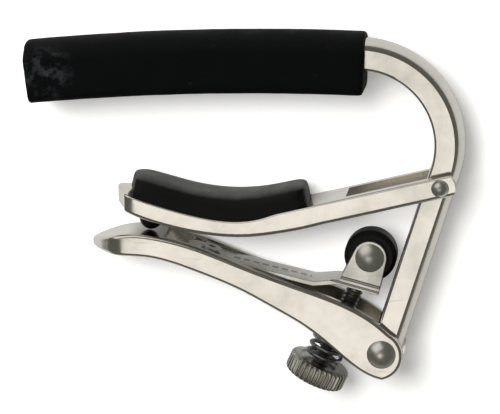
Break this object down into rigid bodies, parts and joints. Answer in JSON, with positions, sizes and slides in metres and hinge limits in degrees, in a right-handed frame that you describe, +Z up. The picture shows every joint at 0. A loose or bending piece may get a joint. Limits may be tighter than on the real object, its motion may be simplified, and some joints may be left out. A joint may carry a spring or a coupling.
{
  "type": "guitar capo",
  "caption": "Lever-operated guitar capo: a rubber-sleeved bent bar and a padded swing arm, closed by an over-centre lever with a roller and adjusting screw.",
  "frame": {"origin": "on the surface it lies on, under the middle of its bounding box", "axes": "+X from the sleeve's open end towards the bend of the bar, +Y from the lever towards the sleeve, +Z up, across the capo's width"},
  "size_m": [0.0756, 0.0636, 0.0122],
  "materials": {
    "nickel_plate": "polished warm nickel plate",
    "nickel_strip": "bright nickel-plated stamped strip",
    "rivet_plate": "bright nickel-plated rivet",
    "knob_plate": "nickel-plated straight knurl",
    "sleeve_rubber": "matt black moulded rubber, slightly scuffed",
    "pad_rubber": "satin black moulded rubber",
    "roller_plastic": "black acetal",
    "spacer_steel": "turned steel",
    "screw_steel": "dark oiled steel thread",
    "spring_wire": "dark spring wire with polished crowns"
  },
  "bodies": {
    "frame": {"main_bar": "nickel_plate", "bar_sleeve": "sleeve_rubber", "arm_rivet": "rivet_plate"},
    "arm": {"swing_arm": "nickel_plate", "neck_pad": "pad_rubber"},
    "lever_body": {"lever": "nickel_plate", "lever_rivet": "rivet_plate", "bracket_rivet": "rivet_plate", "screw_nut": "spacer_steel"},
    "leaf": {"roller_bracket": "nickel_strip", "roller_axle": "rivet_plate", "roller_spacer": "spacer_steel"},
    "roller_body": {"roller": "roller_plastic"},
    "screw_carriage": {"knob_spring": "spring_wire"},
    "screw": {"adjusting_screw": "screw_steel", "thumb_knob": "knob_plate"}
  },
  "joints": [
    {"name": "lever_swing", "type": "hinge", "parent": "frame", "child": "lever_body", "pos_m": [0.02362, -0.02397, 0.0061], "axis": [0, 0, 1], "range_deg": [0, 105]},
    {"name": "arm_swing", "type": "hinge", "parent": "frame", "child": "arm", "pos_m": [0.03374, 0.00555, 0.0061], "axis": [0, 0, 1], "range_deg": [0, 26.5]},
    {"name": "leaf_lift", "type": "hinge", "parent": "lever_body", "child": "leaf", "pos_m": [-0.00648, -0.00733, 0.0061], "axis": [0, 0, 1], "range_deg": [-1.7, 2.5]},
    {"name": "roller_spin", "type": "hinge", "parent": "leaf", "child": "roller_body", "pos_m": [0.02158, -0.00726, 0.0061], "axis": [0, 0, 1], "continuous": true},
    {"name": "screw_travel", "type": "slide", "parent": "lever_body", "child": "screw_carriage", "axis": [0.4226, 0.9063, 0], "range_m": [-0.0007, 0.00105], "deforming": ["knob_spring"]},
    {"name": "screw_turn", "type": "hinge", "parent": "screw_carriage", "child": "screw", "pos_m": [0.01198, -0.02822, 0.0061], "axis": [0.4226, 0.9063, 0], "range_deg": [-360, 540]}
  ],
  "couplings": [
    {"joint": "arm_swing", "follows": "lever_swing", "ratio": 0.25},
    {"joint": "screw_turn", "follows": "screw_travel", "rad_per_m": 8976},
    {"joint": "leaf_lift", "follows": "screw_travel", "rad_per_m": 40.486}
  ]
}
